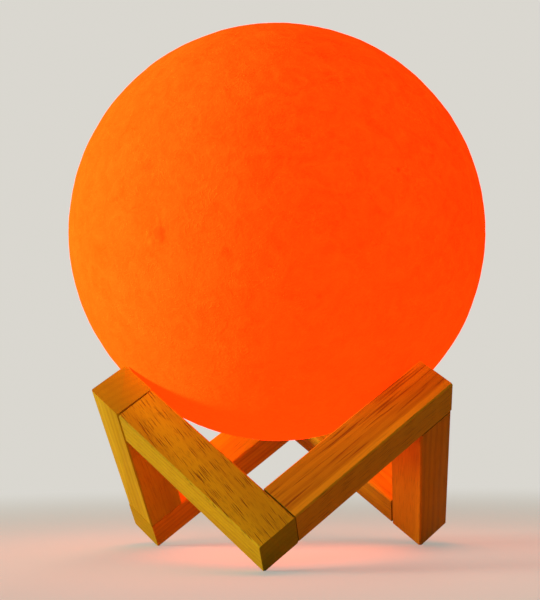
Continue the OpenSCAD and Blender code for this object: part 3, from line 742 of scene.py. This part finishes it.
def glowing_moon():
    """The lit shell: an even orange glow, mottled by its printed wall, with small pits."""
    material, tree, surface = new_material("moon_glow")
    vector = object_vector(tree)
    blotches = cloud(tree, vector, *BLOTCHES)
    fields = cloud(tree, vector, *FIELDS)
    grit = cloud(tree, vector, *GRIT)
    crumple = cloud(tree, vector, *CRUMPLE)
    wisps = threads(tree, vector, *WISPS)
    creases = threads(tree, stretched(tree, vector, CREASE_STRETCH), *CREASES)
    marks = glow_marks(tree, vector, blotches)

    # Lighter and darker parts of the wall, over which the pits and the glow near the opening lie
    specks = sums(tree, "SUBTRACT", grit, CLOUD_MIDDLE)
    # The blister's paler marks raise the tone here as a painted highlight.
    tone = weighted(tree, [
        (blotches, 0.62), (fields, 0.25), (crumple, 0.15), (specks, 0.22), (wisps, 0.16),
        (creases, -0.18), (marks, -0.12),
    ])
    level = between(tree, tone, *CLOUD_RANGE, smooth=False)
    # The pit colours also lie over the blister as painted shade.
    pits_and_shade = sums(tree, "MULTIPLY", marks, PIT_AND_SHADE_SHARE, clamp=True)
    from_opening = distance_to(tree, vector, GLOBE_MIDDLE - UNIT_AXIS * GLOBE_RADIUS)
    near = between(tree, from_opening, *NEAR_OPENING)
    glow = blended(tree, level, GLOW_DARK, GLOW_LIGHT)
    glow = blended(tree, near, glow, GLOW_NEAR)
    glow = blended(tree, pits_and_shade, glow, GLOW_PIT_AND_SHADE)
    skin = blended(tree, level, SKIN_DARK, SKIN_LIGHT)
    skin = blended(tree, pits_and_shade, skin, SKIN_PIT_AND_SHADE)

    # The photograph's red is at its limit on the moon, so the light it throws is the truer orange
    fill(tree, surface, Base_Color=skin, Specular_IOR_Level=0.0,
         Roughness=between(tree, grit, *CLOUD_RANGE, *SKIN_ROUGHNESS),
         Emission_Color=blended(tree, seen_rays(tree), GLOW_THROWN, glow),
         Emission_Strength=GLOW_STRENGTH)
    height = weighted(tree, [
        (blotches, 1.0), (grit, 0.2), (crumple, 0.5), (wisps, 0.25), (marks, -0.8),
    ])
    bump(tree, surface, height, SKIN_STRENGTH, SKIN_DEPTH)
    material.cycles.emission_sampling = "NONE"
    return material


def turn_profile(wall, geometry, axis, angle, steps, whole=False):
    """Spins geometry round an axis through the globe's middle, and gives the last new vertices."""
    turned = bmesh.ops.spin(wall, geom=geometry, cent=(0, 0, 0), axis=axis, angle=angle, steps=steps,
                            use_merge=whole)
    return [v for v in turned["geom_last"] if isinstance(v, bmesh.types.BMVert)]


def make_globe_wall():
    """The shell's closed wall, turned about +Z, with the step that takes the collar's lip."""
    inner_radius = GLOBE_RADIUS - GLOBE_WALL
    lip_radius = OPENING_RADIUS + LIP_REACH
    step_radius = GLOBE_RADIUS - LIP_THICKNESS
    outer_sweep = math.pi - math.asin(lip_radius / GLOBE_RADIUS)
    inner_sweep = math.pi - math.asin(OPENING_RADIUS / inner_radius)

    # The profile: from the pole down the outside, over the step, and up the inside
    wall = bmesh.new()
    pole = wall.verts.new((0, 0, GLOBE_RADIUS))
    last = turn_profile(wall, [pole], (0, 1, 0), outer_sweep, OUTER_ROWS)[0]
    corners = [
        (lip_radius, step_radius),
        (OPENING_RADIUS, step_radius),
        (OPENING_RADIUS, inner_radius),
    ]
    for reach, radius in corners:
        last = bmesh.ops.extrude_vert_indiv(wall, verts=[last])["verts"][0]
        last.co = (reach, 0, -math.sqrt(radius ** 2 - reach ** 2))
    turn_profile(wall, [last], (0, 1, 0), -inner_sweep, INNER_ROWS)

    turn_profile(wall, wall.verts[:] + wall.edges[:], (0, 0, 1), 2 * math.pi, GLOBE_STEPS, whole=True)
    bmesh.ops.remove_doubles(wall, verts=wall.verts[:], dist=SAME_PLACE)
    bmesh.ops.recalc_face_normals(wall, faces=wall.faces[:])
    return wall


def relief(direction):
    """How far the surface lies below the globe's full radius in that direction."""
    slow = noise.fractal(direction * SLOW_SCALE, *SLOW_WAVES)
    fine = noise.fractal(direction * FINE_SCALE + FINE_SHIFT, *FINE_WAVES)
    depth = RELIEF_MEAN + SLOW_HEIGHT * slow + FINE_HEIGHT * fine
    for azimuth, elevation, diameter, dip in CRATERS:
        middle = on_sphere(azimuth, elevation)
        spread = (direction - middle).length * GLOBE_RADIUS / (diameter * MM / 2)
        if spread < CRATER_REACH:
            bowl = max(0.0, 1 - spread ** 2)
            rim = max(0.0, 1 - abs(spread - RIM_PLACE) / RIM_SPREAD)
            depth += dip * (BOWL_SHARE * bowl - RIM_SHARE * rim)
    return min(max(depth, 0.0), RELIEF_MOST) * MM


def make_globe(material):
    """The moon: its wall leaned onto the light unit's axis, with its relief outside."""
    wall = make_globe_wall()
    lean = Vector((0, 0, 1)).rotation_difference(UNIT_AXIS).to_matrix()
    bmesh.ops.rotate(wall, verts=wall.verts[:], cent=(0, 0, 0), matrix=lean)
    lip_angle = math.asin((OPENING_RADIUS + LIP_REACH) / GLOBE_RADIUS)
    for vertex in wall.verts:
        if vertex.co.length > GLOBE_RADIUS - OUTER_BAND:
            direction = vertex.co.normalized()
            off_lip = direction.angle(-UNIT_AXIS) - lip_angle
            share = min(1.0, max(0.0, off_lip / LIP_FADE))
            vertex.co -= direction * relief(direction) * share
    for edge in wall.edges:
        edge.smooth = edge.calc_face_angle(0) < CREASE_ANGLE
    for face in wall.faces:
        face.smooth = True
    bmesh.ops.translate(wall, verts=wall.verts[:], vec=GLOBE_MIDDLE)
    globe = put_in_scene("moon_globe", new_mesh("moon_globe", wall, material))
    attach(globe, "moon")
    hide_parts("moon_shell")


# ---- Floor and light ----

FLOOR_RADIUS = 6.0
FLOOR_SIDES = 96
FLOOR_ROUGHNESS = 0.9
FLOOR_COLOUR = (0.86, 0.79, 0.63, 1)
FLOOR_BOUNCE = (0.42, 0.34, 0.25, 1)
BACKGROUND = (0.70, 0.68, 0.63, 1)

# From this distance to that one, the floor fades into the background, from the least share to all
FADE = (0.16, 0.60)
FADE_LEAST = 0.4

# Studio lamps: name, place, diameter, power. All are discs aimed at the middle of the object.
LAMPS = [
    ("key", (-3.10, -0.42, 0.42), 1.3, 116.0),
    ("fill", (-0.55, -2.20, 1.00), 1.4, 5.8),
    ("top", (-0.10, 0.0, 2.60), 1.6, 4.0),
    ("back", (0.40, 2.60, 1.00), 1.3, 15.0),
]
LAMP_AIM = Vector((0, 0, 0.09))
WORLD_LIGHT = (1, 0.97, 0.92, 1)
WORLD_STRENGTH = 0.17


def pale_floor():
    """A plain pale floor that throws less light back than it shows."""
    material, tree, surface = new_material("floor")
    seen = seen_rays(tree)
    fill(tree, surface, Base_Color=blended(tree, seen, FLOOR_BOUNCE, FLOOR_COLOUR),
         Roughness=FLOOR_ROUGHNESS, Specular_IOR_Level=0.0)

    # Seen from the camera, the floor fades into the background away from the object
    reach = vectors(tree, "LENGTH", object_vector(tree)).outputs["Value"]
    away = between(tree, reach, *FADE, FADE_LEAST, 1.0)
    far = fill(tree, add(tree, "ShaderNodeEmission"), Color=BACKGROUND, Strength=1.0)
    fading = sums(tree, "MULTIPLY", away, seen)
    faded = mixed(tree, fading, surface.outputs["BSDF"], far.outputs["Emission"])

    # From below it is clear, so that the underside of the object can be looked at
    under = add(tree, "ShaderNodeNewGeometry").outputs["Backfacing"]
    clear = add(tree, "ShaderNodeBsdfTransparent")
    chosen = mixed(tree, sums(tree, "MULTIPLY", under, seen), faded, clear.outputs["BSDF"])
    fill(tree, tree.nodes["Material Output"], Surface=chosen)
    material.cycles.emission_sampling = "NONE"
    return material


def make_floor(material):
    """The floor: one large disc."""
    shape = bmesh.new()
    bmesh.ops.create_circle(shape, cap_ends=True, cap_tris=False, segments=FLOOR_SIDES,
                            radius=FLOOR_RADIUS)
    floor = put_in_scene("floor", new_mesh("floor", shape, material))


def make_light():
    """A large soft key lamp low on the left, three weak lamps from the front, top and back, and a
    pale world. The camera sees the world as the plain background."""
    for name, place, size, power in LAMPS:
        data = bpy.data.lights.new(name, "AREA")
        data.shape = "DISK"
        data.size = size
        data.energy = power
        lamp = put_in_scene(name, data)
        lamp.location = place
        lamp.visible_camera = False
        lamp.rotation_euler = (LAMP_AIM - Vector(place)).to_track_quat("-Z", "Y").to_euler()
    world = bpy.data.worlds.new("studio")
    bpy.context.scene.world = world
    world.use_nodes = True
    tree = world.node_tree
    lit = fill(tree, tree.nodes["Background"], Color=WORLD_LIGHT, Strength=WORLD_STRENGTH)
    seen = fill(tree, add(tree, "ShaderNodeBackground"), Color=BACKGROUND, Strength=1.0)
    chosen = mixed(tree, seen_rays(tree), lit.outputs["Background"], seen.outputs["Background"])
    fill(tree, tree.nodes["World Output"], Surface=chosen)


make_camera()
finish_sticks(make_beech_grain())
finish_light_unit(make_moulded_skin(), make_worn_metal())
make_globe(glowing_moon())
make_floor(pale_floor())
make_light()
bpy.context.scene.view_settings.view_transform = "Standard"
